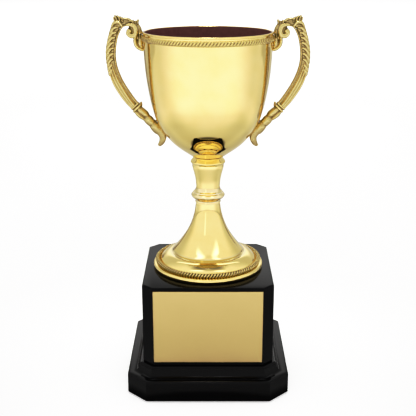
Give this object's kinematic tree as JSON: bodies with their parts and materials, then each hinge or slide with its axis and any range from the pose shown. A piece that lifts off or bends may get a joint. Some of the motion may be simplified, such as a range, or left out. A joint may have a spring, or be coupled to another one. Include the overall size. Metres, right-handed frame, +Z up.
{
  "type": "cup trophy",
  "caption": "Gold cup with rope rim and leafy scroll handles, on a turned stem and trumpet foot, standing on a stepped black plinth with a blank name plate.",
  "frame": {"origin": "centre of the felt pad's underside, on the surface that the trophy stands on", "axes": "+Z up along the stem, +X towards the right-hand handle, -Y towards the name plate and the viewer"},
  "size_m": [0.1142, 0.0932, 0.2135],
  "materials": {
    "cup_gold": "gold plated, mirror polished",
    "rope_gold": "gold plated, bright",
    "handle_gold": "gold plated casting, bright",
    "stem_gold": "gold plated, mirror polished",
    "foot_gold": "gold plated, mirror polished",
    "cup_lining": "dark red lacquer, dull",
    "steel": "zinc plated",
    "block_black": "high gloss",
    "base_black": "high gloss",
    "plate_gold": "gold anodised, satin",
    "tape": "foam tape",
    "ballast": "as cast",
    "board": "hard fibre board",
    "felt": "felt"
  },
  "bodies": {
    "root": {"cup": "cup_gold", "cup_lining": "cup_lining", "rim_rope": "rope_gold", "handle_left": "handle_gold", "handle_right": "handle_gold", "handle_screws": "steel", "handle_washers": "steel", "cup_washer": "steel", "cup_nut": "steel", "tie_rod": "steel", "stem_collar": "stem_gold", "stem_sleeve": "stem_gold", "stem_knop": "stem_gold", "foot": "foot_gold", "foot_rope": "rope_gold", "plinth_block": "block_black", "name_plate": "plate_gold", "plate_tape": "tape", "ballast_disc": "ballast", "base_moulding": "base_black", "base_screws": "steel", "clamp_washer": "steel", "lock_washer": "steel", "rod_nut": "steel", "base_board": "board", "felt_pad": "felt"}
  },
  "joints": []
}
